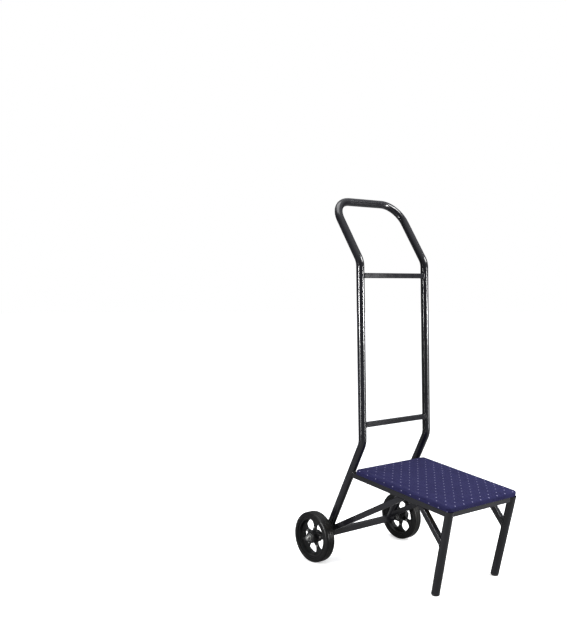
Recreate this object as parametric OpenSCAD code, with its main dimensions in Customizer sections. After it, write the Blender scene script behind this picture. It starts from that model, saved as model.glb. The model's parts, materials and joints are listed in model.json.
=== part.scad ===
// Two-wheeled hotel luggage and chair cart: a bent-tube handle frame, a padded
// sloping deck on two front legs, and two spoked wheels on one axle.
// Frame: +X right, +Y back, +Z up. Origin on the floor under the middle.

/* [Overall] */
// Length from the deck's front edge to the back of the wheels
overall_l = 754.5; // [740:0.5:790]
// Height of the handle bar's centreline
handle_z = 1459.5; // [1400:0.5:1500]
// Distance between the centrelines of the two uprights
frame_w = 371; // [366:1:376]

/* [Tube stock] */
// Outside diameter of the round tube
tube_d = 32; // [30:1:34]
// Wall of the round tube
tube_wall = 1.5; // [1.2:0.1:2]
// Outside width of the crossbars' square tube
bar = 20; // [19:1:21]
// Outside width of the square tube of the deck frame, struts and gussets
rail = 22; // [20:1:25]
// Outside width of the axle's square tube
axle_bar = 25; // [24:1:26]
// Wall of the square tubes
bar_wall = 1.5; // [1.2:0.1:2]

/* [Handle frame] */
// Height of the lower bend
lower_bend_z = 502.5; // [480:0.5:520]
// Height of the upper bend
upper_bend_z = 1213.5; // [1180:0.5:1240]
// Forward lean of the tube from the axle up to the lower bend, in degrees
slope_lean = 27; // [25:0.5:29]
// Backward lean of the uprights, in degrees
upright_lean = 1.4; // [0:0.1:3]
// Backward lean of the handle above the upper bend, in degrees
handle_lean = 33.4; // [26:0.2:38]
// Centreline radius of the bends in the uprights
bend_r = 70; // [50:1:90]
// Centreline radius of the handle's corners
corner_r = 92; // [75:1:110]
// Height of the lower crossbar
lower_bar_z = 573.5; // [560:0.5:640]
// Height of the upper crossbar
upper_bar_z = 1158; // [1080:0.5:1160]

/* [Deck] */
// Width of the covered deck
deck_w = 398; // [394:1:402]
// Length of the covered deck along its slope
deck_l = 478.6; // [470:0.2:486]
// Height of the deck's top at its back edge
deck_z = 399.3; // [388.3:0.2:408.3]
// Slope of the deck down to the front, in degrees
deck_tilt = 7; // [4:0.5:9]
// Radius of the deck's front corners in plan
deck_front_r = 17; // [15:1:30]
// Radius of the deck's back corners in plan
deck_back_r = 13; // [5:1:15]
// Thickness of the fabric
cover_t = 1; // [0.8:0.1:1.2]
// Thickness of the foam
foam_t = 7; // [5:0.5:8]
// Thickness of the plywood board
board_t = 12; // [9:1:12]
// Setback of the rails from the deck's edge
rail_inset = 6; // [6:0.1:9]

/* [Legs] */
// Sideways place of a foot
foot_x = 172.3; // [165:0.1:180]
// Setback of a foot behind the deck's front edge
foot_setback = 86.4; // [70:0.1:100]
// Sideways place of a leg's top
leg_top_x = 181.5; // [178:0.1:184]
// Setback of a leg's top behind the deck's front edge
leg_top_setback = 19; // [17:0.1:20]

/* [Wheels] */
// Wheel diameter
wheel_d = 203; // [198:1:207]
// Tyre width
tyre_w = 47.5; // [43:0.5:50]
// Distance between the wheels' middle planes
track = 511; // [508:1:520]
// Axle rod diameter
axle_d = 12; // [10:1:12]
// Turn of the left wheel's holes, in degrees
left_phase = 62; // [0:1:71]
// Turn of the right wheel's holes, in degrees
right_phase = 22; // [0:1:71]

/* [Hidden] */
$fn = 96;
bore_fn = 48;

// Places along the cart's length
axle_y = overall_l / 2 - wheel_d / 2;
axle_z = wheel_d / 2;
front_y = -overall_l / 2;
slope_rise = lower_bend_z - axle_z;
upright_rise = upper_bend_z - lower_bend_z;
handle_rise = handle_z - upper_bend_z;
lower_bend_y = axle_y - slope_rise * tan(slope_lean);
upper_bend_y = lower_bend_y + upright_rise * tan(upright_lean);
handle_y = upper_bend_y + handle_rise * tan(handle_lean);
deck_y = front_y + deck_l * cos(deck_tilt);
upright_x = frame_w / 2;
tube_r = tube_d / 2;

// How far up the slope from the axle's middle the bent tube ends
slope_end = 8;

// Straights of the bent tube, measured to where they would meet
slope_l = slope_rise / cos(slope_lean);
upright_l = upright_rise / cos(upright_lean);
handle_l = handle_rise / cos(handle_lean);
lower_bend = upright_lean + slope_lean;
upper_bend = handle_lean - upright_lean;
lower_tangent = bend_r * tan(lower_bend / 2);
upper_tangent = bend_r * tan(upper_bend / 2);

// Lap of the tube's straights over its bends, and their extra wall there
lap = 0.5;
lap_wall = 0.02;
bar_corner_r = 2.5;

// Sizes of cutting blocks, past everything they cut
cut_l = 500;
cut_w = 80;
long_leg = 400;

// Depths below the deck's top, square to it
foam_top = -cover_t;
board_top = foam_top - foam_t;
board_bottom = board_top - board_t;
rail_top = board_bottom - cover_t;
rail_bottom = rail_top - rail;
hem_w = 36;
rail_x = deck_w / 2 - rail_inset - rail / 2;
rail_front = -deck_l + rail_inset;

// Struts and gussets, in the plane of the side rails
strut_foot = [axle_y, axle_z + 10.3];
strut_head = [axle_y - 415.5, axle_z + 227.1];
gusset_head = [front_y + 144.5, 317.5];
gusset_foot = [front_y + 41.5, 193.5];

// Legs
foot_y = front_y + foot_setback;
leg_top_y = front_y + leg_top_setback;
leg_top_z = 301.5;
leg_vector = [leg_top_x - foot_x, leg_top_y - foot_y, leg_top_z];
foot_head_l = 10;
foot_dome_z = 14;
foot_dome_r = 18.5;
foot_stem_l = 22;

// Wheels: axial distances from the wheel's middle plane, radii from the axle
wheel_x = track / 2;
seat_r = 76;
lip_r = 80;
lip_t = 3;
rim_half_w = 19;
barrel_t = 3;
web_t = 3;
shoulder_r = 11;
groove_r = 1.4;
tread_r = wheel_d / 2;
tread_grooves = [[tread_r, 6], [tread_r - 1.2, 16]];
wall_groove_at = lip_r + 4;
boss_r = 24;
boss_l = 22;
hub_r = 15;
hub_l = 48;
bush_r = 11;
bush_l = 18;
bush_flange_r = 14;
bush_flange_t = 2;
bore_r = axle_d / 2 + 0.05;
hub_face = hub_l / 2 + bush_flange_t;
play = 0.3;
holes = 5;
hole_centre_r = 50;
hole_r = 21.5;
hole_tip_centre_r = 33;
hole_tip_r = 8;
rim_bolt_r = 2.5;
rim_bolt_at = 40;
rim_bolt_head_r = 4.6;
rim_bolt_head_t = 3.5;
rim_nut_t = 4;

// Axle fittings
washer_r = 12;
washer_t = 2.5;
nut_r = 11;
nut_t = 12;
nut_hex_t = 9;
nut_collar_r = 9;
spacer_r = 10;
rod_tail = 3;
axle_tube_x = upright_x + tube_r + 6;
end_bush_l = 25;
outer_washer_x = wheel_x + hub_face + play;
inner_washer_x = wheel_x - hub_face - play - washer_t;
lock_nut_x = outer_washer_x + washer_t;
rod_end_x = lock_nut_x + nut_t + rod_tail;

// Fasteners of the deck
screw_r = 2.5;
screw_head_r = 4.8;
screw_head_t = 3;
screw_bite = 9;
screw_places = [-60, -180, -400];
staple_w = 10;
staple_wire = 1.2;
staple_leg = 8;
staple_margin = 31;
staples_side = 8;
staples_end = 6;

black = [0.06, 0.06, 0.07];
rim_black = [0.09, 0.09, 0.1];
rubber_black = [0.12, 0.12, 0.12];
zinc = [0.6, 0.6, 0.6];
navy = [0.16, 0.15, 0.36];
ply = [0.72, 0.56, 0.36];
foam_white = [0.9, 0.87, 0.75];
nylon = [0.2, 0.2, 0.2];

// ---- helpers ----

// Puts children drawn in X and Y into the side plane at x: X goes to Y, Y to Z
module side_plane(x) {
    translate([x, 0, 0]) rotate([90, 0, 90]) children();
}

// Draws children, made for the right side, at the left when side is -1
module on_side(side) {
    if (side < 0) mirror([1, 0, 0]) children();
    if (side > 0) children();
}

// Puts children drawn along +Z onto the line from p to q
module along(p, q) {
    v = q - p;
    translate(p) rotate([0, acos(v.z / norm(v)), atan2(v.y, v.x)]) children();
}

module tube_ring(grow = 0) {
    difference() {
        circle(tube_r + grow);
        circle(tube_r - tube_wall - grow);
    }
}

// A straight round tube along +Y; children go on from its end. It laps a little over
// the bends at both ends, with a hair more wall, so that the sections fuse.
module straight_then(l) {
    translate([0, -lap, 0])
        rotate([-90, 0, 0]) linear_extrude(l + 2 * lap) tube_ring(lap_wall);
    translate([0, l, 0]) children();
}

// A round tube bent towards -X by angle a; children go on from its end, along +Y
module bend_then(r, a) {
    translate([-r, 0, 0]) {
        rotate_extrude(angle = a, $fn = 192) translate([r, 0]) tube_ring();
        rotate([0, 0, a]) translate([r, 0, 0]) children();
    }
}

// Deck frame: origin on the deck's top at its back edge, +Y back along the slope
module deck_frame() {
    translate([0, deck_y, deck_z]) rotate([deck_tilt, 0, 0]) children();
}

module rounded_square(w, r) {
    square([w, w - 2 * r], center = true);
    square([w - 2 * r, w], center = true);
    for (x = [-1, 1], y = [-1, 1])
        translate([x, y] * (w / 2 - r)) circle(r, $fn = 32);
}

// A square tube along +X from the origin, its section centred on the axis
module square_tube(l, w) {
    rotate([90, 0, 90])
        linear_extrude(l)
            difference() {
                rounded_square(w, bar_corner_r);
                rounded_square(w - 2 * bar_wall, bar_corner_r - bar_wall);
            }
}

// A square tube between two points of the side plane, in the rails' plane
module plane_bar(p, q) {
    v = q - p;
    side_plane(rail_x)
        translate([p.x, p.y, 0])
            rotate([0, 0, atan2(v.y, v.x)]) square_tube(norm(v), rail);
}

// The solid round of the sloping tube, for coping what butts against it
module slope_rod() {
    side_plane(upright_x)
        translate([axle_y, axle_z, 0])
            rotate([0, 0, 90 + slope_lean])
                rotate([0, 90, 0]) cylinder(r = tube_r, h = cut_l);
}

// All the space behind the sloping tube's middle plane
module behind_slope() {
    side_plane(upright_x)
        translate([axle_y, axle_z, 0])
            rotate([0, 0, 90 + slope_lean])
                translate([-cut_w, -cut_w, -cut_w]) cube([cut_l, cut_w, 2 * cut_w]);
}

module axle_block() {
    translate([-axle_tube_x, axle_y - axle_bar / 2, axle_z - axle_bar / 2])
        cube([2 * axle_tube_x, axle_bar, axle_bar]);
}

module leg_rod(r, s0, s1) {
    u = leg_vector / norm(leg_vector);
    foot = [foot_x, foot_y, 0];
    along(foot + u * s0, foot + u * s1) cylinder(r = r, h = s1 - s0);
}

// ---- welded frame ----

// Puts children drawn along +Y, bending towards -X, onto the handle bar's line
module on_handle_bar(x) {
    translate([x, handle_y, handle_z])
        rotate([90 - handle_lean, 0, 0])
            rotate([180, 0, 90]) children();
}

// Half of the bent tube, from the end of the handle bar down to the axle
module half_tube() {
    on_handle_bar(upright_x - corner_r)
        bend_then(corner_r, 90)
            straight_then(handle_l - corner_r - upper_tangent)
                rotate([0, 90, 0])
                    bend_then(bend_r, upper_bend)
                        straight_then(upright_l - upper_tangent - lower_tangent)
                            bend_then(bend_r, lower_bend)
                                straight_then(slope_l - lower_tangent - slope_end);
}

module handle_frame() {
    color(black)
        difference() {
            union() {
                on_handle_bar(corner_r - upright_x) straight_then(2 * (upright_x - corner_r));
                half_tube();
                mirror([1, 0, 0]) half_tube();
            }
            axle_block();
        }
}

// A crossbar between the uprights, coped to their round sides
module crossbar(z) {
    y = lower_bend_y + (z - lower_bend_z) * tan(upright_lean);
    color(black)
        difference() {
            translate([-upright_x, y, z]) rotate([-upright_lean, 0, 0]) square_tube(frame_w, bar);
            for (s = [-1, 1])
                translate([s * upright_x, y, z]) rotate([-upright_lean, 0, 0])
                    cylinder(r = tube_r, h = 4 * bar, center = true);
        }
}

module upper_crossbar() {
    crossbar(upper_bar_z);
}

module lower_crossbar() {
    crossbar(lower_bar_z);
}

module axle_tube() {
    color(black)
        translate([-axle_tube_x, axle_y, axle_z]) square_tube(2 * axle_tube_x, axle_bar);
}

module strut(side) {
    color(black)
        on_side(side)
            difference() {
                plane_bar(strut_foot, strut_head + (strut_head - strut_foot) * 0.1);
                slope_rod();
                behind_slope();
                axle_block();
                above(rail_bottom);
            }
}

module left_strut() {
    strut(-1);
}

module right_strut() {
    strut(1);
}

// All the space above a depth below the deck's top
module above(depth) {
    deck_frame() translate([-cut_l, -2 * cut_l, depth]) cube([2 * cut_l, 3 * cut_l, cut_l]);
}

// Side rail: coped to the leg at the front, to the sloping tube at the back
module side_rail(side) {
    color(black)
        on_side(side)
            difference() {
                deck_frame()
                    translate([rail_x, rail_front, rail_top - rail / 2])
                        rotate([0, 0, 90]) square_tube(-rail_front + cut_w, rail);
                leg_rod(tube_r, foot_head_l, long_leg);
                before_leg();
                slope_rod();
                behind_slope();
                screw_holes(screw_r + 0.1);
            }
}

module left_side_rail() {
    side_rail(-1);
}

module right_side_rail() {
    side_rail(1);
}

// Front rail: a tube between the side rails, coped to both legs
module front_rail() {
    l = 2 * rail_x - rail;
    color(black)
        difference() {
            deck_frame() translate([-l / 2, rail_front + rail / 2, rail_top - rail / 2]) square_tube(l, rail);
            leg_rod(tube_r, foot_head_l, long_leg);
            mirror([1, 0, 0]) leg_rod(tube_r, foot_head_l, long_leg);
        }
}

module rear_rail() {
    l = 2 * rail_x - rail;
    color(black)
        deck_frame()
            translate([-l / 2, -rail_inset - rail / 2, rail_top - rail / 2]) square_tube(l, rail);
}

module leg(side) {
    color(black)
        on_side(side)
            difference() {
                leg_rod(tube_r, foot_head_l, long_leg);
                leg_rod(tube_r - tube_wall, foot_head_l - 1, long_leg + 1);
                above(rail_top);
            }
}

module left_leg() {
    leg(-1);
}

module right_leg() {
    leg(1);
}

module gusset(side) {
    v = gusset_foot - gusset_head;
    color(black)
        on_side(side)
            difference() {
                plane_bar(gusset_head - v * 0.2, gusset_foot);
                leg_rod(tube_r, foot_head_l, long_leg);
                before_leg();
                above(rail_bottom);
            }
}

// All the space in front of the leg's middle
module before_leg() {
    side_plane(rail_x)
        translate([foot_y, 0, 0])
            rotate([0, 0, atan2(leg_top_z, leg_top_y - foot_y)])
                translate([-cut_w, 0, -cut_w]) cube([cut_l, cut_w, 2 * cut_w]);
}

module left_gusset() {
    gusset(-1);
}

module right_gusset() {
    gusset(1);
}

// Plastic plug in the leg's end, its dome cut flat where it stands on the floor
module foot_plug(side) {
    u = leg_vector / norm(leg_vector);
    color(rubber_black)
        on_side(side)
            union() {
                difference() {
                    intersection() {
                        leg_rod(tube_r, -10, foot_head_l);
                        translate([foot_x, foot_y, 0] + u * foot_dome_z) sphere(foot_dome_r);
                    }
                    translate([foot_x - cut_w, foot_y - cut_w, -2 * cut_w]) cube(2 * cut_w);
                }
                leg_rod(tube_r - tube_wall, foot_head_l - 1, foot_head_l + foot_stem_l);
            }
}

module left_foot_plug() {
    foot_plug(-1);
}

module right_foot_plug() {
    foot_plug(1);
}

// ---- deck ----

// The deck's outline drawn in by an inset, with its four rounded corners
module deck_outline(inset) {
    w = deck_w - 2 * inset;
    fr = deck_front_r - inset;
    br = deck_back_r - inset;
    translate([-w / 2, -deck_l + inset + fr]) square([w, deck_l - 2 * inset - fr - br]);
    translate([-w / 2 + fr, -deck_l + inset]) square([w - 2 * fr, fr]);
    translate([-w / 2 + br, -inset - br]) square([w - 2 * br, br]);
    for (s = [-1, 1]) {
        translate([s * (w / 2 - fr), -deck_l + inset + fr]) circle(fr);
        translate([s * (w / 2 - br), -inset - br]) circle(br);
    }
}

module deck_layer(inset, bottom, top) {
    translate([0, 0, bottom]) linear_extrude(top - bottom) deck_outline(inset);
}

module screw_holes(r) {
    deck_frame()
        for (y = screw_places)
            translate([rail_x, y, rail_bottom - 1])
                cylinder(r = r, h = rail + cover_t + screw_bite + 1, $fn = bore_fn);
}

module both_screw_holes(r) {
    screw_holes(r);
    mirror([1, 0, 0]) screw_holes(r);
}

module deck_board() {
    color(ply)
        difference() {
            deck_frame() deck_layer(cover_t, board_bottom, board_top);
            both_screw_holes(screw_r);
        }
}

module deck_foam() {
    color(foam_white) deck_frame() deck_layer(cover_t, board_top, foam_top);
}

// Fabric over the top and round the edges, with its hem turned in underneath
module deck_cover() {
    color(navy)
        difference() {
            deck_frame() deck_layer(0, rail_top, 0);
            deck_frame() deck_layer(cover_t, board_bottom, foam_top);
            deck_frame()
                translate([-deck_w / 2 + hem_w, -deck_l + hem_w, rail_top - 1])
                    cube([deck_w - 2 * hem_w, deck_l - 2 * hem_w, cover_t + 2]);
            both_screw_holes(screw_r);
        }
}

module deck_screw() {
    translate([0, 0, -screw_head_t]) cylinder(r = screw_head_r, h = screw_head_t);
    cylinder(r = screw_r, h = rail + cover_t + screw_bite, $fn = bore_fn);
}

module deck_screws() {
    color(zinc)
        for (s = [-1, 1], y = screw_places)
            deck_frame() translate([s * rail_x, y, rail_bottom]) deck_screw();
}

module staple() {
    translate([-staple_w / 2, -staple_wire / 2, -staple_wire])
        cube([staple_w, staple_wire, staple_wire]);
    for (s = [-1, 1])
        translate([s * (staple_w - staple_wire) / 2, 0, staple_leg / 2])
            cube([staple_wire, staple_wire, staple_leg], center = true);
}

module deck_staples() {
    side_gap = (deck_l - 4 * staple_margin) / (staples_side - 1);
    end_gap = (deck_w - 4 * staple_margin) / (staples_end - 1);
    color(zinc)
        deck_frame() {
            for (s = [-1, 1], i = [0 : staples_side - 1])
                translate([s * (deck_w / 2 - staple_margin), -2 * staple_margin - i * side_gap, rail_top])
                    rotate([0, 0, 90]) staple();
            for (e = [0, 1], i = [0 : staples_end - 1])
                translate([-deck_w / 2 + 2 * staple_margin + i * end_gap,
                    -staple_margin - e * (deck_l - 2 * staple_margin), rail_top]) staple();
        }
}

// ---- axle ----

// Puts children drawn along +Z onto the axle's line, +Z outwards from x
module on_axle(side, x) {
    on_side(side) translate([x, axle_y, axle_z]) rotate([0, 90, 0]) children();
}

module ring(r_out, r_in, h) {
    difference() {
        cylinder(r = r_out, h = h);
        translate([0, 0, -1]) cylinder(r = r_in, h = h + 2, $fn = bore_fn);
    }
}

module axle_rod() {
    color(zinc)
        translate([-rod_end_x, axle_y, axle_z]) rotate([0, 90, 0])
            cylinder(r = axle_d / 2, h = 2 * rod_end_x);
}

// Square block in the tube's end that carries the rod
module end_bush(side) {
    w = axle_bar - 2 * bar_wall;
    color(zinc)
        on_axle(side, axle_tube_x - end_bush_l)
            difference() {
                linear_extrude(end_bush_l) rounded_square(w, bar_corner_r - bar_wall);
                translate([0, 0, -1]) cylinder(r = bore_r, h = end_bush_l + 2, $fn = bore_fn);
            }
}

module spacer(side) {
    color(zinc)
        on_axle(side, axle_tube_x) ring(spacer_r, bore_r, inner_washer_x - axle_tube_x);
}

module washer(side, x) {
    color(zinc) on_axle(side, x) ring(washer_r, bore_r, washer_t);
}

// Hexagon nut with a domed locking collar
module lock_nut(side) {
    color(zinc)
        on_axle(side, lock_nut_x)
            difference() {
                union() {
                    cylinder(r = nut_r, h = nut_hex_t, $fn = 6);
                    cylinder(r = nut_collar_r, h = nut_t);
                }
                translate([0, 0, -1]) cylinder(r = bore_r, h = nut_t + 2, $fn = bore_fn);
            }
}

module left_end_bush() {
    end_bush(-1);
}

module right_end_bush() {
    end_bush(1);
}

module left_spacer() {
    spacer(-1);
}

module right_spacer() {
    spacer(1);
}

module left_inner_washer() {
    washer(-1, inner_washer_x);
}

module right_inner_washer() {
    washer(1, inner_washer_x);
}

module left_outer_washer() {
    washer(-1, outer_washer_x);
}

module right_outer_washer() {
    washer(1, outer_washer_x);
}

module left_lock_nut() {
    lock_nut(-1);
}

module right_lock_nut() {
    lock_nut(1);
}

// ---- wheels: radius along X, distance from the middle plane along Y ----

// Tyre outside the rim's lips: a block with rounded shoulders
module tyre_body() {
    half = tyre_w / 2;
    shoulder_at = tread_r - shoulder_r;
    intersection() {
        translate([lip_r, -half]) square([tread_r - lip_r, tyre_w]);
        union() {
            translate([0, -half]) square([shoulder_at, tyre_w]);
            translate([0, -half + shoulder_r]) square([tread_r, tyre_w - 2 * shoulder_r]);
            for (s = [-1, 1]) translate([shoulder_at, s * (half - shoulder_r)]) circle(shoulder_r);
        }
    }
}

// Solid rubber tyre, gripped between the rim's lips and grooved
module tyre(side) {
    grip = rim_half_w - lip_t;
    color(rubber_black)
        on_axle(side, wheel_x)
            rotate_extrude($fn = 192)
                difference() {
                    union() {
                        translate([seat_r, -grip]) square([lip_r - seat_r + 1, 2 * grip]);
                        tyre_body();
                    }
                    for (s = [-1, 1]) {
                        for (g = tread_grooves) translate([g.x, s * g.y]) circle(groove_r, $fn = 24);
                        translate([wall_groove_at, s * tyre_w / 2]) circle(groove_r, $fn = 24);
                    }
                }
}

// Rounded drop shape between two spokes, wide end outwards
module drop_hole() {
    reach = hole_centre_r - hole_tip_centre_r;
    lift = asin((hole_r - hole_tip_r) / reach);
    rise = [-sin(lift), cos(lift)];
    tip = [hole_tip_centre_r, 0];
    wide = [hole_centre_r, 0];
    translate(tip) circle(hole_tip_r);
    translate(wide) circle(hole_r);
    polygon([
        tip + hole_tip_r * rise, wide + hole_r * rise,
        wide + hole_r * [rise.x, -rise.y], tip + hole_tip_r * [rise.x, -rise.y]
    ]);
}

// Half of the split rim: web, barrel with its lip, and hub boss
module rim_half(phase) {
    difference() {
        rotate_extrude($fn = 192) {
            translate([hub_r, 0]) square([seat_r - hub_r, web_t]);
            translate([seat_r - barrel_t, 0]) square([barrel_t, rim_half_w]);
            translate([seat_r - barrel_t, rim_half_w - lip_t])
                square([lip_r - seat_r + barrel_t, lip_t]);
            translate([hub_r, 0]) square([boss_r - hub_r, boss_l]);
        }
        for (i = [0 : holes - 1])
            rotate([0, 0, phase + i * 360 / holes]) {
                translate([0, 0, -1]) linear_extrude(web_t + 2) drop_hole();
                rotate([0, 0, 180 / holes])
                    translate([rim_bolt_at, 0, -1])
                        cylinder(r = rim_bolt_r, h = web_t + 2, $fn = bore_fn);
            }
    }
}

// Turns a phase measured from +Y towards +Z into the axle's own turn
function axle_phase(a) = a + 90;

module rim_outer(side, phase) {
    color(rim_black) on_axle(side, wheel_x) rim_half(axle_phase(phase));
}

module rim_inner(side, phase) {
    color(rim_black)
        on_axle(side, wheel_x) mirror([0, 0, 1]) rim_half(axle_phase(phase));
}

module hub_sleeve(side) {
    color(zinc) on_axle(side, wheel_x - hub_l / 2) ring(hub_r, bush_r, hub_l);
}

// Flanged nylon bush, its flange outside the hub sleeve
module bearing() {
    difference() {
        union() {
            cylinder(r = bush_flange_r, h = bush_flange_t);
            translate([0, 0, -bush_l]) cylinder(r = bush_r, h = bush_l);
        }
        translate([0, 0, -bush_l - 1])
            cylinder(r = bore_r, h = bush_l + bush_flange_t + 2, $fn = bore_fn);
    }
}

module outer_bearing(side) {
    color(nylon) on_axle(side, wheel_x + hub_l / 2) bearing();
}

module inner_bearing(side) {
    color(nylon) on_axle(side, wheel_x - hub_l / 2) mirror([0, 0, 1]) bearing();
}

// Children at the middle of each spoke
module at_spokes(side, phase) {
    for (i = [0 : holes - 1])
        on_axle(side, wheel_x)
            rotate([0, 0, axle_phase(phase) + (i + 0.5) * 360 / holes])
                translate([rim_bolt_at, 0, 0]) children();
}

module rim_bolts(side, phase) {
    length = 2 * web_t + rim_nut_t + 2;
    color(zinc)
        at_spokes(side, phase) {
            translate([0, 0, web_t]) cylinder(r = rim_bolt_head_r, h = rim_bolt_head_t, $fn = 6);
            translate([0, 0, web_t - length]) cylinder(r = rim_bolt_r, h = length, $fn = bore_fn);
        }
}

module rim_nuts(side, phase) {
    color(zinc)
        at_spokes(side, phase)
            translate([0, 0, -web_t - rim_nut_t])
                difference() {
                    cylinder(r = rim_bolt_head_r, h = rim_nut_t, $fn = 6);
                    translate([0, 0, -1]) cylinder(r = rim_bolt_r, h = rim_nut_t + 2, $fn = bore_fn);
                }
}

module left_tyre() {
    tyre(-1);
}

module left_rim_outer() {
    rim_outer(-1, left_phase);
}

module left_rim_inner() {
    rim_inner(-1, left_phase);
}

module left_hub_sleeve() {
    hub_sleeve(-1);
}

module left_outer_bearing() {
    outer_bearing(-1);
}

module left_inner_bearing() {
    inner_bearing(-1);
}

module left_rim_bolts() {
    rim_bolts(-1, left_phase);
}

module left_rim_nuts() {
    rim_nuts(-1, left_phase);
}

module right_tyre() {
    tyre(1);
}

module right_rim_outer() {
    rim_outer(1, right_phase);
}

module right_rim_inner() {
    rim_inner(1, right_phase);
}

module right_hub_sleeve() {
    hub_sleeve(1);
}

module right_outer_bearing() {
    outer_bearing(1);
}

module right_inner_bearing() {
    inner_bearing(1);
}

module right_rim_bolts() {
    rim_bolts(1, right_phase);
}

module right_rim_nuts() {
    rim_nuts(1, right_phase);
}

handle_frame();
upper_crossbar();
lower_crossbar();
axle_tube();
left_strut();
right_strut();
left_side_rail();
right_side_rail();
front_rail();
rear_rail();
left_leg();
right_leg();
left_gusset();
right_gusset();
left_foot_plug();
right_foot_plug();
deck_board();
deck_foam();
deck_cover();
deck_screws();
deck_staples();
axle_rod();
left_end_bush();
right_end_bush();
left_spacer();
right_spacer();
left_inner_washer();
right_inner_washer();
left_outer_washer();
right_outer_washer();
left_lock_nut();
right_lock_nut();
left_tyre();
left_rim_outer();
left_rim_inner();
left_hub_sleeve();
left_outer_bearing();
left_inner_bearing();
left_rim_bolts();
left_rim_nuts();
right_tyre();
right_rim_outer();
right_rim_inner();
right_hub_sleeve();
right_outer_bearing();
right_inner_bearing();
right_rim_bolts();
right_rim_nuts();
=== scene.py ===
"""Looks of the two-wheeled luggage cart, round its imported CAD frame. Metres; +X right, +Y back, +Z up."""

import json
import math

import bmesh
import bpy
import numpy as np
from mathutils import Matrix, Vector, noise
from mathutils.bvhtree import BVHTree


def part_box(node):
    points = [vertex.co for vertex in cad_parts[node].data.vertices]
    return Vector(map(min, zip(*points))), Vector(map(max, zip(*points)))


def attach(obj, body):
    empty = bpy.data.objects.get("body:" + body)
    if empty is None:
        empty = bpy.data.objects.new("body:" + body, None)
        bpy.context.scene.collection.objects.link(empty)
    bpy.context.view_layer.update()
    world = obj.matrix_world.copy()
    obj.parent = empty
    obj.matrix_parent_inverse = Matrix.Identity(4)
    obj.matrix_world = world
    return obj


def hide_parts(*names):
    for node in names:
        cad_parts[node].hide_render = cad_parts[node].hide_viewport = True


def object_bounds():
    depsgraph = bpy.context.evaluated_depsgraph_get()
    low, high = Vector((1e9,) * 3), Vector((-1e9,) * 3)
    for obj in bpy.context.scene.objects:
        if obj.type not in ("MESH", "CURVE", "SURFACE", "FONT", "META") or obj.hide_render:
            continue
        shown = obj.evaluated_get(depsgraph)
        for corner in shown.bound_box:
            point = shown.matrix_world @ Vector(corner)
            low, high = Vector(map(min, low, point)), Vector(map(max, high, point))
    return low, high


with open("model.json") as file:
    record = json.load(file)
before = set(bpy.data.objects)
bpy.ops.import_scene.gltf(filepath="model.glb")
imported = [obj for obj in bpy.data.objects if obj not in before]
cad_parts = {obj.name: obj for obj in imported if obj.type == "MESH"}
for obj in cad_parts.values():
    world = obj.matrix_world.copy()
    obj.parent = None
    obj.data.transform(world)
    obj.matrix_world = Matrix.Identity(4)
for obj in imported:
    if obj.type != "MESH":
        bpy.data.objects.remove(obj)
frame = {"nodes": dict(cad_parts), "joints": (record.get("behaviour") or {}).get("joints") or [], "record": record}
CAD_LOW, CAD_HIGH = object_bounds()
NODES = frame["nodes"]
RECORD = frame["record"]
MM = 0.001

SLOT_OF = {part["node"]: part["material_slot"] for part in RECORD["subparts"]}
MOUNTS = {mount["name"]: mount for mount in RECORD["mounts"]}


# ---- materials ----

class Shader:
    """A material under construction: its tree, its Principled shader and the object's own coordinates."""

    def __init__(self, name, **constants):
        self.material = bpy.data.materials.new(name)
        self.material.use_nodes = True
        self.tree = self.material.node_tree
        self.surface = self.tree.nodes["Principled BSDF"]
        for socket, value in constants.items():
            self.surface.inputs[socket.replace("_", " ")].default_value = value
        self.place = self.add("ShaderNodeTexCoord").outputs["Object"]

    def add(self, kind, inputs=None, **settings):
        made = self.tree.nodes.new(kind)
        for key, value in settings.items():
            setattr(made, key, value)
        for key, value in (inputs or {}).items():
            if isinstance(value, bpy.types.NodeSocket):
                self.tree.links.new(value, made.inputs[key])
            else:
                made.inputs[key].default_value = value
        return made

    def math(self, operation, a, b=0.0, c=0.0, clamp=False):
        made = self.add("ShaderNodeMath", {0: a, 1: b, 2: c}, operation=operation, use_clamp=clamp)
        return made.outputs[0]

    def noise(self, scale, detail=3.0, roughness=0.55, stretch=None, place=None, distortion=0.0):
        source = place or self.place
        if stretch:
            source = self.add("ShaderNodeMapping", {"Vector": source, "Scale": stretch}).outputs[0]
        made = self.add("ShaderNodeTexNoise", {
            "Vector": source, "Scale": scale, "Detail": detail, "Roughness": roughness,
            "Distortion": distortion})
        return made.outputs["Fac"]

    def span(self, value, from_low, from_high, to_low=0.0, to_high=1.0, smooth=False):
        made = self.add("ShaderNodeMapRange", {
            "Value": value, "From Min": from_low, "From Max": from_high, "To Min": to_low, "To Max": to_high})
        if smooth:
            made.interpolation_type = "SMOOTHSTEP"
        return made.outputs[0]

    def mix(self, share, first, second):
        made = self.add("ShaderNodeMix", {0: share}, data_type="RGBA")
        for socket, value in ((6, first), (7, second)):
            if isinstance(value, bpy.types.NodeSocket):
                self.tree.links.new(value, made.inputs[socket])
            else:
                made.inputs[socket].default_value = (*value, 1.0)
        return made.outputs[2]

    def bump(self, height, distance, strength=1.0, after=None):
        inputs = {"Height": height, "Distance": distance, "Strength": strength}
        if after:
            inputs["Normal"] = after
        return self.add("ShaderNodeBump", inputs).outputs[0]

    def finish(self, color=None, roughness=None, normal=None):
        for socket, value in (("Base Color", color), ("Roughness", roughness), ("Normal", normal)):
            if value is not None:
                self.tree.links.new(value, self.surface.inputs[socket])
        return self.material


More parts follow.
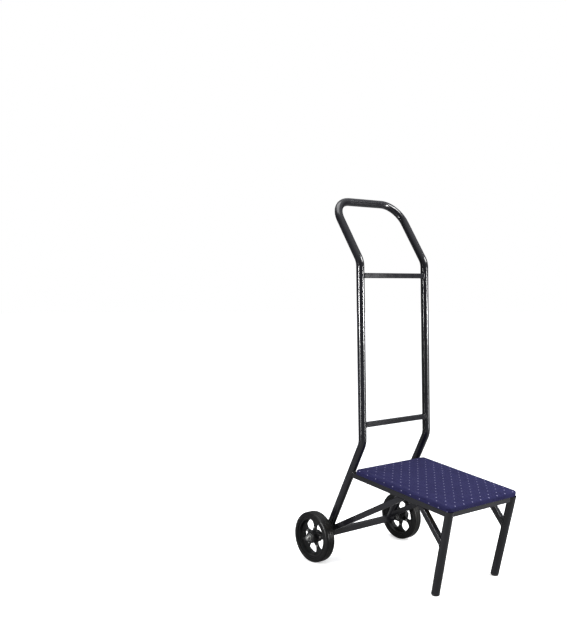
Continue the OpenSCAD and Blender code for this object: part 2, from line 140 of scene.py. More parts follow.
def frame_paint():
    s = Shader("gloss_black_paint", Coat_Weight=0.3, Coat_Roughness=0.1, Specular_IOR_Level=0.45)
    cloud = s.noise(9.0, 4.0)
    color = s.mix(s.span(cloud, 0.35, 0.65), (0.0065, 0.0065, 0.0085), (0.0105, 0.0105, 0.0135))
    rub = s.span(s.noise(55.0, 6.0, 0.7), 0.62, 0.8)
    color = s.mix(s.math("MULTIPLY", rub, 0.12), color, (0.022, 0.022, 0.025))
    up = s.add("ShaderNodeSeparateXYZ", {0: s.add("ShaderNodeNewGeometry").outputs["Normal"]}).outputs[2]
    dust = s.math("MULTIPLY", s.span(up, 0.55, 1.0), s.span(s.noise(120.0, 5.0), 0.4, 0.75))
    color = s.mix(s.math("MULTIPLY", dust, 0.03), color, (0.16, 0.155, 0.15))
    base_rough = s.span(s.noise(31.0, 4.0, 0.6), 0.3, 0.7, 0.16, 0.23)
    rough = s.math("ADD", base_rough, s.math("MULTIPLY", rub, 0.06))
    rough = s.math("ADD", rough, s.math("MULTIPLY", dust, 0.08))
    peel = s.bump(s.noise(380.0, 1.0), 0.000004, 0.4)
    wave = s.bump(s.noise(40.0, 1.0), 0.0001, 0.15, peel)
    return s.finish(color, rough, wave)


def rim_paint():
    s = Shader("satin_black_steel", Specular_IOR_Level=0.35, Coat_Weight=0.12, Coat_Roughness=0.25)
    color = s.mix(s.span(s.noise(38.0, 4.0), 0.35, 0.7), (0.005, 0.005, 0.0055), (0.010, 0.010, 0.0105))
    grit = s.span(s.noise(210.0, 6.0, 0.7), 0.58, 0.78)
    color = s.mix(s.math("MULTIPLY", grit, 0.12), color, (0.06, 0.057, 0.052))
    rough = s.span(s.noise(90.0, 4.0), 0.3, 0.7, 0.28, 0.46)
    normal = s.bump(s.noise(900.0, 3.0), 0.00005, 0.5)
    return s.finish(color, rough, normal)


def zinc_steel():
    s = Shader("zinc_plate", Metallic=1.0)
    tone = s.noise(130.0, 4.0, distortion=0.6)
    color = s.mix(s.span(tone, 0.3, 0.7), (0.50, 0.51, 0.54), (0.66, 0.65, 0.60))
    color = s.mix(s.span(s.noise(420.0, 5.0), 0.55, 0.85, 0.0, 0.5), color, (0.30, 0.29, 0.28))
    rough = s.span(s.noise(260.0, 5.0), 0.3, 0.7, 0.26, 0.46)
    lines = s.noise(240.0, 3.0, stretch=(14.0, 1.0, 1.0))
    normal = s.bump(lines, 0.00006, 0.5)
    return s.finish(color, rough, normal)


def tyre_rubber():
    s = Shader("solid_rubber", Specular_IOR_Level=0.3)
    centre = Vector(JOINT_PLACE["left_wheel"])
    xyz = s.add("ShaderNodeSeparateXYZ", {0: s.place})
    dy = s.math("SUBTRACT", xyz.outputs[1], centre.y)
    dz = s.math("SUBTRACT", xyz.outputs[2], centre.z)
    radius = s.math("SQRT", s.math("ADD", s.math("MULTIPLY", dy, dy), s.math("MULTIPLY", dz, dz)))
    tread = s.span(radius, 0.0970, 0.1010, smooth=True)
    grime = s.span(s.noise(75.0, 6.0, 0.7), 0.35, 0.75)
    color = s.mix(s.noise(24.0, 3.0), (0.0035, 0.0035, 0.0038), (0.0070, 0.0070, 0.0072))
    color = s.mix(s.math("MULTIPLY", s.math("MULTIPLY", tread, grime), 0.16), color, (0.085, 0.08, 0.072))
    color = s.mix(s.math("MULTIPLY", grime, 0.03), color, (0.10, 0.095, 0.085))
    rough = s.math("ADD", s.span(s.noise(60.0, 4.0), 0.3, 0.7, 0.30, 0.42), s.math("MULTIPLY", tread, -0.04))
    turned = s.math("SINE", s.math("MULTIPLY", radius, 2 * math.pi / 0.0011))
    normal = s.bump(turned, 0.00003, 0.35)
    normal = s.bump(s.noise(700.0, 3.0), 0.00006, 0.6, normal)
    return s.finish(color, rough, normal)


def foot_plastic():
    s = Shader("moulded_plug", Specular_IOR_Level=0.4)
    xyz = s.add("ShaderNodeSeparateXYZ", {0: s.place})
    low = s.math("SUBTRACT", 1.0, s.span(xyz.outputs[2], 0.0, 0.007))
    scuff = s.math("MULTIPLY", low, s.span(s.noise(300.0, 5.0), 0.35, 0.7))
    color = s.mix(s.noise(60.0), (0.014, 0.014, 0.015), (0.024, 0.024, 0.024))
    color = s.mix(s.math("MULTIPLY", scuff, 0.6), color, (0.12, 0.115, 0.105))
    rough = s.span(s.noise(150.0, 4.0), 0.3, 0.7, 0.42, 0.6)
    normal = s.bump(s.noise(1300.0, 2.0), 0.00008, 0.6)
    return s.finish(color, rough, normal)


def nylon():
    s = Shader("black_nylon", Specular_IOR_Level=0.45)
    color = s.mix(s.noise(180.0), (0.03, 0.03, 0.032), (0.055, 0.054, 0.052))
    rough = s.span(s.noise(240.0, 4.0), 0.3, 0.7, 0.36, 0.52)
    return s.finish(color, rough, s.bump(s.noise(1600.0), 0.00005, 0.5))


def plywood():
    s = Shader("rotary_cut_plywood", Specular_IOR_Level=0.3)
    broad = s.noise(9.0, 5.0, 0.6, (3.2, 0.55, 1.0), distortion=1.4)
    bands = s.math("FRACT", s.math("MULTIPLY", broad, 9.0))
    bands = s.span(s.math("ABSOLUTE", s.math("SUBTRACT", bands, 0.5)), 0.0, 0.5)
    color = s.mix(bands, (0.46, 0.30, 0.165), (0.60, 0.43, 0.26))
    fibre = s.noise(420.0, 4.0, 0.6, (1.0, 0.045, 1.0))
    color = s.mix(s.span(fibre, 0.5, 0.78, 0.0, 0.55), color, (0.26, 0.155, 0.08))
    knot = s.add("ShaderNodeTexVoronoi", {
        "Vector": s.add("ShaderNodeMapping", {"Vector": s.place, "Scale": (1.0, 0.6, 1.0)}).outputs[0],
        "Scale": 6.5}).outputs["Distance"]
    color = s.mix(s.span(knot, 0.10, 0.035, 0.0, 0.8, True), color, (0.17, 0.09, 0.045))
    rough = s.span(fibre, 0.3, 0.7, 0.62, 0.8)
    return s.finish(color, rough, s.bump(fibre, 0.0002, 0.5))


def foam():
    s = Shader("cut_foam", Subsurface_Weight=0.1)
    cells = s.add("ShaderNodeTexVoronoi", {"Vector": s.place, "Scale": 900.0}).outputs["Distance"]
    color = s.mix(s.span(cells, 0.1, 0.6), (0.55, 0.46, 0.27), (0.80, 0.74, 0.55))
    return s.finish(color, s.span(s.noise(200.0), 0.3, 0.7, 0.85, 0.95), s.bump(cells, 0.0004, 0.8))


# Dots of the cloth: steps from one to the next across and along it, and a dot's half size
DOT_ACROSS = 0.0479
DOT_SHIFT = -0.0246
DOT_ALONG = 0.02255
DOT_START = 0.0179
DOT_HALF = 0.0019
THREAD = 0.00125


def deck_fabric():
    s = Shader("navy_dotted_weave", Specular_IOR_Level=0.05, Sheen_Weight=0.02, Sheen_Roughness=0.4,
               Sheen_Tint=(0.6, 0.6, 0.8, 1.0))
    cloth = s.add("ShaderNodeUVMap", uv_map="cloth").outputs[0]
    xy = s.add("ShaderNodeSeparateXYZ", {0: cloth})
    x, y = xy.outputs[0], xy.outputs[1]
    row = s.math("DIVIDE", y, DOT_ALONG)
    across = s.math("SUBTRACT", s.math("SUBTRACT", x, DOT_START), s.math("MULTIPLY", row, DOT_SHIFT))
    column = s.math("DIVIDE", across, DOT_ACROSS)
    off_row = s.math("SUBTRACT", row, s.math("ROUND", row))
    off_column = s.math("SUBTRACT", column, s.math("ROUND", column))
    dx = s.math("ADD", s.math("MULTIPLY", off_row, DOT_SHIFT), s.math("MULTIPLY", off_column, DOT_ACROSS))
    dy = s.math("MULTIPLY", off_row, DOT_ALONG)
    cube_x = s.math("POWER", s.math("ABSOLUTE", dx), 3.0)
    cube_y = s.math("POWER", s.math("ABSOLUTE", dy), 3.0)
    cube = s.math("ADD", cube_x, cube_y)
    reach = s.math("POWER", cube, 1.0 / 3.0)
    frayed = s.math("ADD", reach, s.span(s.noise(1500.0, 2.0, place=cloth), 0.3, 0.7, -0.0003, 0.0003))
    dot = s.span(frayed, DOT_HALF + 0.0003, DOT_HALF - 0.0004, 0.0, 1.0, True)

    turns = 2 * math.pi / THREAD
    warp = s.math("SINE", s.math("MULTIPLY", x, turns))
    weft = s.math("SINE", s.math("MULTIPLY", y, turns))
    over = s.math("SIGN", s.math("MULTIPLY", s.math("SINE", s.math("MULTIPLY", x, turns / 2)),
                                 s.math("SINE", s.math("MULTIPLY", y, turns / 2))))
    warp_up = s.math("MULTIPLY", s.math("ABSOLUTE", weft), s.math("MAXIMUM", over, 0.0))
    under = s.math("MULTIPLY", over, -1.0)
    weft_up = s.math("MULTIPLY", s.math("ABSOLUTE", warp), s.math("MAXIMUM", under, 0.0))
    weave = s.math("ADD", warp_up, weft_up)

    blotch = s.noise(16.0, 4.0, place=cloth)
    slub = s.noise(300.0, 3.0, stretch=(1.0, 0.08, 1.0), place=cloth)
    ground = s.mix(s.span(blotch, 0.3, 0.7), (0.0150, 0.0145, 0.050), (0.0195, 0.0190, 0.061))
    ground = s.mix(s.span(slub, 0.45, 0.8, 0.0, 0.5), ground, (0.031, 0.029, 0.094))
    # Where the weave is low, between the threads, the ground is painted darker: painted shade in the weave's
    # hollows.
    ground = s.mix(s.math("MULTIPLY", s.math("SUBTRACT", 1.0, weave), 0.35), ground, (0.0085, 0.0072, 0.034))
    flecks = s.span(s.noise(420.0, 2.0, place=cloth), 0.35, 0.65)
    pale = s.mix(flecks, (0.21, 0.205, 0.34), (0.30, 0.295, 0.44))
    # The pale dots are also painted darker between their threads: painted shade in the weave's hollows.
    pale = s.mix(s.math("MULTIPLY", s.math("SUBTRACT", 1.0, weave), 0.3), pale, (0.10, 0.09, 0.2))
    color = s.mix(dot, ground, pale)
    height = s.math("ADD", s.math("MULTIPLY", weave, 0.6), s.math("MULTIPLY", dot, 0.5))
    normal = s.bump(height, 0.00028, 0.7)
    rough = s.span(s.noise(500.0, 3.0, place=cloth), 0.3, 0.7, 0.78, 0.92)
    return s.finish(color, rough, normal)


JOINT_PLACE = {joint["child"]: joint["pos_m"] for joint in frame["joints"]}
MATERIALS = {
    "frame_paint": frame_paint(),
    "rim_paint": rim_paint(),
    "zinc_steel": zinc_steel(),
    "tyre_rubber": tyre_rubber(),
    "foot_plastic": foot_plastic(),
    "nylon": nylon(),
    "plywood": plywood(),
    "foam": foam(),
    "deck_fabric": deck_fabric(),
}

for name, part in NODES.items():
    part.data.materials.clear()
    part.data.materials.append(MATERIALS[SLOT_OF[name]])


# ---- meshes ----

def piece(name, points, faces, slot, body="frame"):
    """A smooth-shaded mesh of the object, riding on a body, with its slot's material."""
    mesh = bpy.data.meshes.new(name)
    mesh.from_pydata([tuple(p) for p in points], [], faces)
    mesh.polygons.foreach_set("use_smooth", [True] * len(mesh.polygons))
    mesh.materials.append(MATERIALS[slot])
    made = bpy.data.objects.new(name, mesh)
    bpy.context.scene.collection.objects.link(made)
    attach(made, body)
    return made


def soften(name, width, segments=2):
    """Breaks the sharp edges of a turned or pressed CAD part."""
    part = NODES[name]
    weld = part.modifiers.new("weld", "WELD")
    weld.merge_threshold = 0.00001
    bevel = part.modifiers.new("bevel", "BEVEL")
    bevel.width = width
    bevel.segments = segments
    bevel.limit_method = "ANGLE"
    bevel.angle_limit = math.radians(40)


for side in ("left_", "right_"):
    for name, width in (("lock_nut", 0.5 * MM), ("outer_washer", 0.35 * MM), ("inner_washer", 0.35 * MM),
                        ("rim_bolts", 0.3 * MM), ("rim_nuts", 0.3 * MM)):
        soften(side + name, width)


# ---- the padded deck, in its own frame: across X, along Y from its middle, height Z from its top ----

DECK_TILT_AXIS = Vector(MOUNTS["deck_top"]["axis"])
DECK_MIDDLE = Vector(MOUNTS["deck_top"]["pos_m"])
DECK_BACKWARDS = DECK_TILT_AXIS.cross(Vector((1, 0, 0)))
TO_DECK = Matrix.Translation(DECK_MIDDLE) @ Matrix((
    (1, 0, 0, 0),
    (0, DECK_BACKWARDS.y, DECK_TILT_AXIS.y, 0),
    (0, DECK_BACKWARDS.z, DECK_TILT_AXIS.z, 0),
    (0, 0, 0, 1)))
COVER_LOW, COVER_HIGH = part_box("deck_cover")
DECK_DEPTH = 21 * MM
HALF_W = (COVER_HIGH.x - COVER_LOW.x) / 2
HALF_L = (COVER_HIGH.y - COVER_LOW.y - DECK_DEPTH * abs(DECK_TILT_AXIS.y)) / DECK_TILT_AXIS.z / 2
FRONT_R = 17 * MM
BACK_R = 13 * MM
CLOTH_T = 1 * MM
FOAM_T = 7 * MM
HEM = 36 * MM
ARC_STEPS = 10
SIDE_STEPS = 76
END_STEPS = 62


def outline(inset):
    """Points round the deck and their outward directions, anticlockwise from the back right corner."""
    half_w, half_l = HALF_W - inset, HALF_L - inset
    corners = ((1, 1, BACK_R, 0.0), (-1, 1, BACK_R, 0.5), (-1, -1, FRONT_R, 1.0), (1, -1, FRONT_R, 1.5))
    ring = []
    for i, (sx, sy, full, turn) in enumerate(corners):
        r = max(full - inset, 3 * MM)
        centre = Vector((sx * (half_w - r), sy * (half_l - r)))
        arc = []
        for k in range(ARC_STEPS + 1):
            a = (turn + 0.5 * k / ARC_STEPS) * math.pi
            out = Vector((math.cos(a), math.sin(a)))
            arc.append((centre + out * r, out))
        ring.append(arc)
    loop = []
    for i, arc in enumerate(ring):
        loop += arc
        start, end = arc[-1][0], ring[(i + 1) % 4][0][0]
        steps = END_STEPS if i % 2 == 0 else SIDE_STEPS
        loop += [(start.lerp(end, k / steps), arc[-1][1]) for k in range(1, steps)]
    shift = ARC_STEPS // 2
    return loop[shift:] + loop[:shift]


N_END = END_STEPS + ARC_STEPS
N_SIDE = SIDE_STEPS + ARC_STEPS
N_ROUND = 2 * (N_END + N_SIDE)


def patch(border):
    """Grid of points filling a border of four sides, anticlockwise from the back right corner."""
    back = border[:N_END + 1]
    left = border[N_END:N_END + N_SIDE + 1]
    front = border[N_END + N_SIDE:2 * N_END + N_SIDE + 1][::-1]
    right = (border[2 * N_END + N_SIDE:] + border[:1])[::-1]
    grid = []
    for j in range(N_SIDE + 1):
        v = j / N_SIDE
        line = []
        for i in range(N_END + 1):
            u = i / N_END
            p = back[i] * (1 - v) + front[i] * v + right[j] * (1 - u) + left[j] * u
            p -= (back[0] * (1 - u) + back[-1] * u) * (1 - v) + (front[0] * (1 - u) + front[-1] * u) * v
            line.append(p)
        grid.append(line)
    return grid


def border_index(k):
    """Row and column in the grid of the k-th border point."""
    if k <= N_END:
        return 0, k
    if k <= N_END + N_SIDE:
        return k - N_END, N_END
    if k <= 2 * N_END + N_SIDE:
        return N_SIDE, 2 * N_END + N_SIDE - k
    return N_ROUND - k, 0


TOP_ROLL = 9 * MM
LOW_ROLL = 2 * MM
TOP_START = -0.3 * MM


def cover_rows():
    """Inset and height of each row outside the top's grid."""
    rows = [(inset * MM, TOP_START) for inset in (19.5, 16.5, 13.5, 11)]
    for k in range(0, 7):
        a = k / 6 * math.pi / 2
        rows.append((TOP_ROLL * (1 - math.sin(a)), TOP_START - TOP_ROLL * (1 - math.cos(a))))
    low = -DECK_DEPTH + LOW_ROLL
    high = TOP_START - TOP_ROLL
    rows += [(0.0, high + (low - high) * k / 5) for k in range(1, 6)]
    for k in range(1, 5):
        a = k / 4 * math.pi / 2
        rows.append((LOW_ROLL * (1 - math.cos(a)), low - LOW_ROLL * math.sin(a)))
    rows += [(inset * MM, -DECK_DEPTH) for inset in (5, 9, 14, 19, 24, 28, 32)]
    rows.append((HEM, -DECK_DEPTH))
    return rows


GRID_INSET = 23 * MM
GRID_BORDER = [p for p, _ in outline(GRID_INSET)]
GRID = patch(GRID_BORDER)
ROWS = cover_rows()


def cover_mesh():
    """Points, faces and cloth coordinates of the cover's outside, from the top's middle to the hem."""
    points = [Vector((p.x, p.y, TOP_START)) for line in GRID for p in line]
    cloth = [(p.x, HALF_L - p.y) for p in points]
    wide = N_END + 1
    faces = []
    for j in range(N_SIDE):
        for i in range(N_END):
            a = j * wide + i
            faces.append((a, a + 1, a + wide + 1, a + wide))
    before = [row * wide + column for row, column in map(border_index, range(N_ROUND))]
    last_inset, last_height, run = GRID_INSET, TOP_START, -GRID_INSET
    edge = outline(0.0)
    for inset, height in ROWS:
        run += math.hypot(inset - last_inset, height - last_height)
        last_inset, last_height = inset, height
        start = len(points)
        for k, (p, out) in enumerate(outline(inset)):
            points.append(Vector((p.x, p.y, height)))
            base = edge[k][0] if run > 0 else p
            reach = out * (run if run > 0 else 0.0)
            cloth.append((base.x + reach.x, HALF_L - base.y - reach.y))
        now = list(range(start, start + N_ROUND))
        for k in range(N_ROUND):
            n = (k + 1) % N_ROUND
            faces.append((before[k], now[k], now[n], before[n]))
        before = now
    return points, faces, cloth


def stuff(obj, weights):
    """Fills the cover: cloth under pressure, held where the weights are 1."""
    group = obj.vertex_groups.new(name="held")
    for i, w in enumerate(weights):
        if w > 0:
            group.add([i], w, "REPLACE")
    cloth = obj.modifiers.new("cloth", "CLOTH")
    cloth.settings.quality = 6
    cloth.settings.mass = 0.25
    cloth.settings.tension_stiffness = 40
    cloth.settings.compression_stiffness = 40
    cloth.settings.shear_stiffness = 10
    cloth.settings.bending_stiffness = 2
    cloth.settings.vertex_group_mass = "held"
    cloth.settings.use_pressure = True
    cloth.settings.uniform_pressure_force = 4
    cloth.settings.effector_weights.gravity = 0
    cloth.collision_settings.use_collision = False
    cloth.collision_settings.use_self_collision = False
    scene = bpy.context.scene
    scene.frame_start, scene.frame_end = 1, 20
    for i in range(1, 21):
        scene.frame_set(i)
    evaluated = obj.evaluated_get(bpy.context.evaluated_depsgraph_get())
    moved = np.array([v.co for v in evaluated.data.vertices], float)
    obj.modifiers.remove(cloth)
    scene.frame_set(1)
    return moved


MOST_SWELL = 2.6 * MM
TUG_PITCH = 47 * MM


def make_cover():
    points, faces, cloth = cover_mesh()
    rest = np.array([tuple(p) for p in points], float)
    made = piece("deck_pad_cover", points, faces, "deck_fabric")
    layer = made.data.uv_layers.new(name="cloth")
    for loop in made.data.loops:
        layer.data[loop.index].uv = cloth[loop.vertex_index]
    held = np.clip((-rest[:, 2] - 6 * MM) / (3 * MM), 0, 1)
    moved = stuff(made, held)
    outward = np.array([tuple(v.normal) for v in made.data.vertices], float)
    swell = np.maximum(np.sum((moved - rest) * outward, axis=1), 0.0)
    rest = rest + outward * (MOST_SWELL * np.tanh(swell / MOST_SWELL))[:, None]
    return made, rest


def worry(obj, rest):
    """Pulls the cloth in at its staples, pleats it round the front corners and gives it a little slack."""
    co = rest.copy()
    below = np.clip(-(rest[:, 2] + 6 * MM) / (12 * MM), 0, 1)
    for i, (x, y, z) in enumerate(rest):
        corner = Vector((abs(x) - (HALF_W - FRONT_R), -y - (HALF_L - FRONT_R)))
        out = Vector((0.0, 0.0))
        if corner.x > 0 and corner.y > 0:
            angle = math.atan2(corner.y, corner.x)
            out = corner.normalized()
            fade = math.sin(2 * angle)
            depth = 0.55 * MM * fade * below[i] * (0.5 + 0.5 * math.cos(angle * 26 + 1.3 * x / HALF_W))
            co[i, 0] -= math.copysign(out.x, x) * depth
            co[i, 1] += out.y * depth
        if z > TOP_START - 0.2 * MM:
            soft = noise.noise(Vector((x * 21, y * 17, 0.4)))
            fine = noise.noise(Vector((x * 64, y * 58, 2.7)))
            co[i, 2] += 0.28 * MM * soft + 0.10 * MM * fine
        elif z > -DECK_DEPTH + LOW_ROLL:
            uneven = noise.noise(Vector((x * 50, y * 50, z * 50)))
            tug = 0.16 * MM * math.cos(2 * math.pi * (x + y) / TUG_PITCH) + 0.12 * MM * uneven
            if abs(x) > HALF_W - 3 * MM:
                co[i, 0] += math.copysign(tug * below[i], x)
            if abs(y) > HALF_L - 3 * MM:
                co[i, 1] += math.copysign(tug * below[i], y)
    return co


cover, stuffed = make_cover()
stuffed = worry(cover, stuffed)
local = Matrix(TO_DECK)
cover.data.vertices.foreach_set("co", np.ravel(stuffed))
cover.data.update()
INNER = np.array([tuple(v.normal) for v in cover.data.vertices], float)
cover.data.transform(local)
cover.data.update()
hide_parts("deck_cover")
skin = cover.modifiers.new("cloth_thickness", "SOLIDIFY")
skin.thickness = CLOTH_T * 0.92
skin.offset = -1
skin.use_rim = True
skin.use_even_offset = False
smooth = cover.modifiers.new("smooth", "SUBSURF")
smooth.levels = smooth.render_levels = 1


def make_foam():
    """The foam sheet under the cover: its top follows the cloth, its underside lies on the board."""
    flat = -(CLOTH_T + FOAM_T)
    top_rows = [i for i, row in enumerate(ROWS) if row[1] > flat + 0.8 * MM]
    grid_points = (N_END + 1) * (N_SIDE + 1)
    count = grid_points + len(top_rows) * N_ROUND
    top = stuffed[:count] - INNER[:count] * (CLOTH_T * 1.1)
    last = grid_points + (len(top_rows) - 1) * N_ROUND
    low = top.copy()
    low[:, 2] = flat
    points = [tuple(p) for p in top] + [tuple(p) for p in low]
    faces = [tuple(f.vertices) for f in cover.data.polygons if max(f.vertices) < count]
    faces += [tuple(count + v for v in reversed(f)) for f in list(faces)]
    for k in range(N_ROUND):
        n = (k + 1) % N_ROUND
        faces.append((last + k, count + last + k, count + last + n, last + n))
    made = piece("deck_pad_foam", points, faces, "foam")
    made.data.transform(local)
    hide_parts("deck_foam")


make_foam()


# ---- weld beads, round the ends of the tubes ----

BEAD_R = 2.3 * MM
BEAD_STEP = 0.5 * MM
BEAD_SIDES = 10
TOUCH = 1.2 * MM
RIPPLE = 1.9 * MM


def solid(name):
    """A CAD node with its doubled points joined, and its search tree."""
    bm = bmesh.new()
    bm.from_mesh(NODES[name].data)
    bmesh.ops.remove_doubles(bm, verts=bm.verts, dist=1e-6)
    bm.normal_update()
    return bm, BVHTree.FromBMesh(bm)


def inside(tree, point):
    near, normal, _, _ = tree.find_nearest(point)
    return (point - near).dot(normal) < 0


def seam_edges(butting, host):
    """Outer edges of a tube's end that lie on the tube it butts against, with its own normal there."""
    bm, own = butting
    _, other = host
    found = []
    for edge in bm.edges:
        if len(edge.link_faces) != 2 or edge.calc_face_angle(0.0) < math.radians(20):
            continue
        a, b = (v.co for v in edge.verts)
        if any(other.find_nearest(p)[3] > TOUCH for p in (a, b)):
            continue
        middle = (a + b) / 2
        walls = [f for f in edge.link_faces if not inside(other, middle + f.normal * TOUCH)]
        if len(walls) != 1:
            continue
        wall = walls[0].normal
        if own.ray_cast(middle + wall * 0.5 * MM, wall, 40 * MM)[0] is not None:
            continue
        found.append((edge.verts[0].index, edge.verts[1].index, a.copy(), b.copy(), wall.copy()))
    return found


def chains(edges):
    """Joins edges end to end into lines of (point, normal); each is closed or open."""
    links, where, normals = {}, {}, {}
    for a, b, pa, pb, wall in edges:
        links.setdefault(a, []).append(b)
        links.setdefault(b, []).append(a)
        where[a], where[b] = pa, pb
        for k in (a, b):
            normals[k] = normals.get(k, Vector()) + wall
    left, lines = set(links), []
    while left:
        ends = sorted(k for k in left if len(links[k]) == 1)
        start = ends[0] if ends else min(left)
        line, here = [start], start
        left.discard(start)
        while True:
            ahead = [k for k in links[here] if k in left]
            if not ahead:
                break
            here = ahead[0]
            left.discard(here)
            line.append(here)
        closed = not ends and len(line) > 3 and line[0] in links[line[-1]]
        if len(line) > 2:
            lines.append(([(where[k], normals[k].normalized()) for k in line], closed))
    return lines


def walk(line, closed):
    """The same line in even steps, softened a little at its corners."""
    places = [np.array(p) for p, _ in line] + ([np.array(line[0][0])] if closed else [])
    outs = [np.array(n) for _, n in line] + ([np.array(line[0][1])] if closed else [])
    gaps = [np.linalg.norm(b - a) for a, b in zip(places, places[1:])]
    at = np.concatenate([[0], np.cumsum(gaps)])
    count = max(6, int(at[-1] / BEAD_STEP))
    spots = np.linspace(0, at[-1], count, endpoint=not closed)
    p = np.stack([np.interp(spots, at, [q[k] for q in places]) for k in range(3)], 1)
    n = np.stack([np.interp(spots, at, [q[k] for q in outs]) for k in range(3)], 1)
    for _ in range(4):
        if closed:
            p = (np.roll(p, 1, 0) + 2 * p + np.roll(p, -1, 0)) / 4
            n = (np.roll(n, 1, 0) + 2 * n + np.roll(n, -1, 0)) / 4
        elif len(p) > 4:
            p[1:-1] = (p[:-2] + 2 * p[1:-1] + p[2:]) / 4
            n[1:-1] = (n[:-2] + 2 * n[1:-1] + n[2:]) / 4
    return p, n


def runs(clear, closed):
    """Stretches of True, as lists of indices; one closed run keeps its flag."""
    count = len(clear)
    if all(clear):
        return [(list(range(count)), closed)]
    found = []
    start = clear.index(False) if closed else 0
    order = [(start + k) % count for k in range(count)]
    run = []
    for k in order:
        if clear[k]:
            run.append(k)
        elif run:
            found.append((run, False))
            run = []
    if run:
        found.append((run, False))
    return [r for r in found if len(r[0]) > 8]


def sweep(points, outs, closed, seed, radius):
    """Points and faces of one bead."""
    count = len(points)
    rings, faces = [], []
    for k in range(count):
        ahead = points[(k + 1) % count] if closed or k + 1 < count else points[k]
        behind = points[k - 1] if closed or k > 0 else points[k]
        t = Vector(ahead - behind).normalized()
        d = Vector(outs[k])
        d = (d - t * d.dot(t)).normalized()
        side = t.cross(d)
        along = k * BEAD_STEP
        ripple = 0.07 * abs(math.sin(math.pi * along / RIPPLE + seed))
        lump = noise.noise(Vector((along / (7 * MM), seed * 3.1, 0.5))) * 0.24
        grow = radius * (0.97 + ripple + lump)
        end = min(k, count - 1 - k)
        if not closed and end < 6:
            grow *= 0.35 + 0.65 * math.sin(end / 6 * math.pi / 2)
        sway = noise.noise(Vector((along / (5 * MM), seed * 1.7, 7.5))) * 0.25 * radius
        c = Vector(points[k]) + d * (radius * 0.12) + side * sway
        for j in range(BEAD_SIDES):
            a = 2 * math.pi * j / BEAD_SIDES
            rings.append(c + (d * math.sin(a) * 0.92 + side * math.cos(a) * 1.06) * grow)
    for k in range(count if closed else count - 1):
        n = (k + 1) % count
        for j in range(BEAD_SIDES):
            m = (j + 1) % BEAD_SIDES
            faces.append((k * BEAD_SIDES + j, k * BEAD_SIDES + m, n * BEAD_SIDES + m, n * BEAD_SIDES + j))
    if not closed:
        faces.append(tuple(range(BEAD_SIDES))[::-1])
        faces.append(tuple((count - 1) * BEAD_SIDES + j for j in range(BEAD_SIDES)))
    return rings, faces


SEAMS = [
    ("upper_crossbar", "handle_frame"), ("lower_crossbar", "handle_frame"), ("handle_frame", "axle_tube"),
    ("rear_rail", "left_side_rail"), ("rear_rail", "right_side_rail"),
]
for side in ("left_", "right_"):
    SEAMS += [
        (side + "strut", "axle_tube"), (side + "strut", side + "side_rail"),
        (side + "side_rail", "handle_frame"),
        (side + "side_rail", side + "leg"), ("front_rail", side + "leg"), ("front_rail", side + "side_rail"),
        (side + "gusset", side + "side_rail"), (side + "gusset", side + "leg"),
    ]


def make_beads():
    used = sorted({n for pair in SEAMS for n in pair} | {"deck_cover"})
    solids = {n: solid(n) for n in used}
    for bm, _ in solids.values():
        bm.verts.index_update()
    for number, (butting, host) in enumerate(SEAMS):
        tree = solids[host][1]
        points, faces = [], []
        radius = BEAD_R * (0.6 if "leg" in host and "rail" in butting else 1.0)
        for line, closed in chains(seam_edges(solids[butting], solids[host])):
            p, n = walk(line, closed)
            outs, clear = [], []
            for spot, wall in zip(p, n):
                wall = Vector(wall).normalized()
                _, skin_normal, _, _ = tree.find_nearest(Vector(spot) + wall * 3 * MM)
                outs.append(np.array((wall + skin_normal).normalized()))
                gap = solids["deck_cover"][1].find_nearest(Vector(spot))[3]
                clear.append(gap > radius * 1.3)
            for run, loop in runs(clear, closed):
                more, skins = sweep(p[run], [outs[k] for k in run], loop, number + len(points) * 0.01, radius)
                faces += [tuple(len(points) + i for i in f) for f in skins]
                points += more
        if points:
            piece(f"weld_{butting}_to_{host}", points, faces, "frame_paint")
    for bm, _ in solids.values():
        bm.free()


make_beads()


# ---- axle rod with its threads ----

ROD_LOW, ROD_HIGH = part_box("axle_rod")
ROD_R = (ROD_HIGH.y - ROD_LOW.y) / 2
PITCH = 1.75 * MM
THREAD_DEPTH = 0.95 * MM
THREAD_L = 24 * MM
CHAMFER = 1.2 * MM
ROD_SIDES = 48


def make_rod():
    half = ROD_HIGH.x
    centre = Vector((0, (ROD_LOW.y + ROD_HIGH.y) / 2, (ROD_LOW.z + ROD_HIGH.z) / 2))
    fine = np.arange(0, THREAD_L, PITCH / 10)
    shank = [-half + THREAD_L, half - THREAD_L]
    xs = sorted(set([-half + t for t in fine] + shank + [half - t for t in fine]))
    points, faces = [], []
    for x in xs:
        tip = half - abs(x)
        for j in range(ROD_SIDES):
            a = 2 * math.pi * j / ROD_SIDES
            turn = (tip / PITCH + j / ROD_SIDES) % 1.0
            vee = min(1.0, max(0.0, abs(turn - 0.5) * 2.6 - 0.15))
            fade = min(1.0, max(0.0, (THREAD_L - tip) / (2 * PITCH)))
            r = ROD_R - THREAD_DEPTH * (1 - vee) * fade
            r = min(r, ROD_R - max(0.0, CHAMFER - tip))
            points.append(centre + Vector((x, math.cos(a) * r, math.sin(a) * r)))
    for k in range(len(xs) - 1):
        for j in range(ROD_SIDES):
            m = (j + 1) % ROD_SIDES
            a, b = k * ROD_SIDES, (k + 1) * ROD_SIDES
            faces.append((a + j, a + m, b + m, b + j))
    faces.append(tuple(range(ROD_SIDES))[::-1])
    faces.append(tuple((len(xs) - 1) * ROD_SIDES + j for j in range(ROD_SIDES)))
    made = piece("axle_rod_threaded", points, faces, "zinc_steel")
    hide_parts("axle_rod")


make_rod()


# ---- studio ----

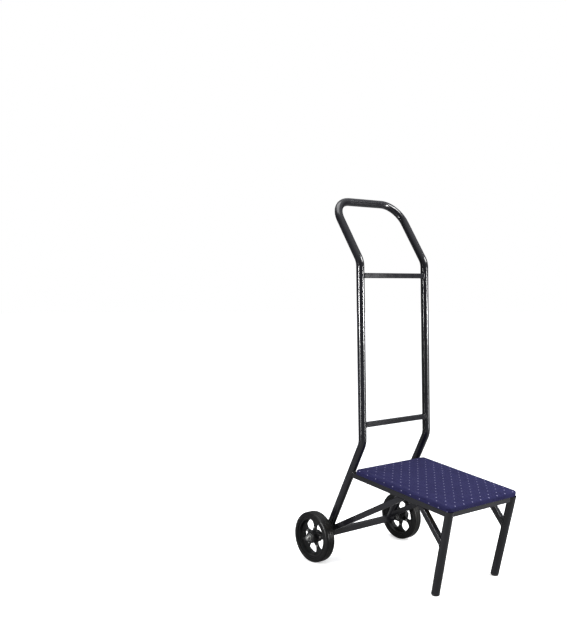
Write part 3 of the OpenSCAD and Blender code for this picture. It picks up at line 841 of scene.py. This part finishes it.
SKY_HORIZON = 0.12
SKY_TOP = 1.5
SKY_MIRRORED = 0.58
FLOOR_LIFT = 0.45
FLOOR_BOUNCE = (0.2, 0.2, 0.2)
LAMPS = (
    ("key", (1.5, -2.3, 3.2), (1.3, 1.3), 110),
    ("overhead", (-0.4, 0.6, 3.3), (1.8, 1.8), 30),
    ("strip_left_upper", (-2.5, 0.05, 1.05), (0.22, 0.45), 44),
    ("strip_left_lower", (-2.5, 0.05, 0.5), (0.22, 0.6), 11),
    ("strip_right_upper", (1.35, -2.15, 1.05), (0.22, 0.45), 44),
    ("strip_right_lower", (1.35, -2.15, 0.5), (0.22, 0.6), 11),
)


def studio():
    scene = bpy.context.scene
    scene.view_settings.view_transform = "Standard"
    world = bpy.data.worlds.new("studio")
    scene.world = world
    world.use_nodes = True
    tree = world.node_tree
    tree.nodes.clear()

    def node(kind, inputs=None, **settings):
        made = tree.nodes.new(kind)
        for key, value in settings.items():
            setattr(made, key, value)
        for key, value in (inputs or {}).items():
            if isinstance(value, bpy.types.NodeSocket):
                tree.links.new(value, made.inputs[key])
            else:
                made.inputs[key].default_value = value
        return made

    path = node("ShaderNodeLightPath")
    up = node("ShaderNodeSeparateXYZ", {0: node("ShaderNodeTexCoord").outputs["Generated"]}).outputs[2]
    up = node("ShaderNodeMath", {0: up, 1: 0.0}, operation="MAXIMUM").outputs[0]
    up = node("ShaderNodeMath", {0: up, 1: 2.0}, operation="POWER").outputs[0]
    sky = node("ShaderNodeMath", {0: up, 1: SKY_TOP, 2: SKY_HORIZON}, operation="MULTIPLY_ADD").outputs[0]
    mirrored = node("ShaderNodeMath", {0: path.outputs["Is Glossy Ray"], 1: SKY_MIRRORED - 1, 2: 1.0},
                    operation="MULTIPLY_ADD").outputs[0]
    strength = node("ShaderNodeMath", {0: sky, 1: mirrored}, operation="MULTIPLY").outputs[0]
    felt = node("ShaderNodeBackground", {0: (0.95, 0.97, 1.0, 1.0), 1: strength})
    seen = node("ShaderNodeBackground", {0: (1.0, 1.0, 1.0, 1.0)})
    camera_ray = path.outputs["Is Camera Ray"]
    blend = node("ShaderNodeMixShader", {0: camera_ray, 1: felt.outputs[0], 2: seen.outputs[0]})
    node("ShaderNodeOutputWorld", {0: blend.outputs[0]})

    for name, place, size, power in LAMPS:
        lamp = bpy.data.lights.new(name, "AREA")
        lamp.shape = "RECTANGLE"
        lamp.size, lamp.size_y = size
        lamp.energy = power
        made = bpy.data.objects.new(name, lamp)
        made.location = place
        aim = Vector((0, 0, 0.7)) - Vector(place)
        if "strip" in name:
            aim.z = 0.0
        made.rotation_euler = aim.to_track_quat("-Z", "Y").to_euler()
        scene.collection.objects.link(made)

    mesh = bpy.data.meshes.new("floor")
    bm = bmesh.new()
    bmesh.ops.create_circle(bm, cap_ends=True, segments=128, radius=30.0)
    bm.to_mesh(mesh)
    bm.free()
    floor = bpy.data.objects.new("floor", mesh)
    floor.location.z = CAD_LOW.z - 0.0003
    scene.collection.objects.link(floor)
    s = Shader("pale_floor", Specular_IOR_Level=0.1, Emission_Color=(1, 1, 1, 1))
    direct = s.add("ShaderNodeLightPath").outputs["Is Camera Ray"]
    pale = s.mix(s.noise(3.0), (0.90, 0.90, 0.90), (0.92, 0.92, 0.92))
    s.tree.links.new(s.math("MULTIPLY", direct, FLOOR_LIFT), s.surface.inputs["Emission Strength"])
    rough = s.span(s.noise(8.0), 0.0, 1.0, 0.7, 0.85)
    mesh.materials.append(s.finish(s.mix(direct, FLOOR_BOUNCE, pale), rough))

    cam = bpy.data.cameras.new("camera")
    cam.lens = 48.81
    cam.sensor_width = 36
    camera = bpy.data.objects.new("camera", cam)
    camera.location = (-2.5572, -2.33985, 1.1281)
    camera.rotation_euler = (math.radians(90 - 2.43), 0, math.radians(-39.28))
    scene.collection.objects.link(camera)
    scene.camera = camera


studio()
